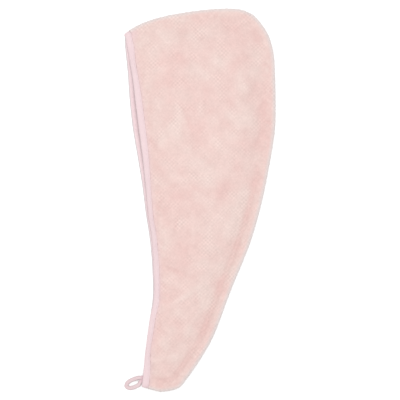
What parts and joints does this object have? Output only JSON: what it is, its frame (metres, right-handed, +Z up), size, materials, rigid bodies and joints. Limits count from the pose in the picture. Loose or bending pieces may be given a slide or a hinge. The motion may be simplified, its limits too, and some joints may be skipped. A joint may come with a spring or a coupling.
{
  "type": "hair-drying turban",
  "caption": "Plush hair-drying turban lying closed: a sewn head pocket narrowing to a tail, with a bound open edge, a hanging loop at the tail and a button under the nape.",
  "frame": {"origin": "on the table under the middle of the outline, as the turban lies on its side", "axes": "+Y from the tail to the crown, +X from the open edge to the back seam, +Z up from the table"},
  "size_m": [0.2565, 0.65, 0.0266],
  "materials": {
    "plush": "soft short-pile plush in pale pink",
    "binding_tape": "smooth knitted tape in a cooler pale pink",
    "loop_tape": "smooth knitted tape, folded and sewn narrow",
    "button_plastic": "polished plastic in pale pink"
  },
  "bodies": {
    "root": {"upper_panel": "plush", "lower_panel": "plush", "edge_binding": "binding_tape", "hanging_loop": "loop_tape", "button": "button_plastic"}
  },
  "joints": []
}
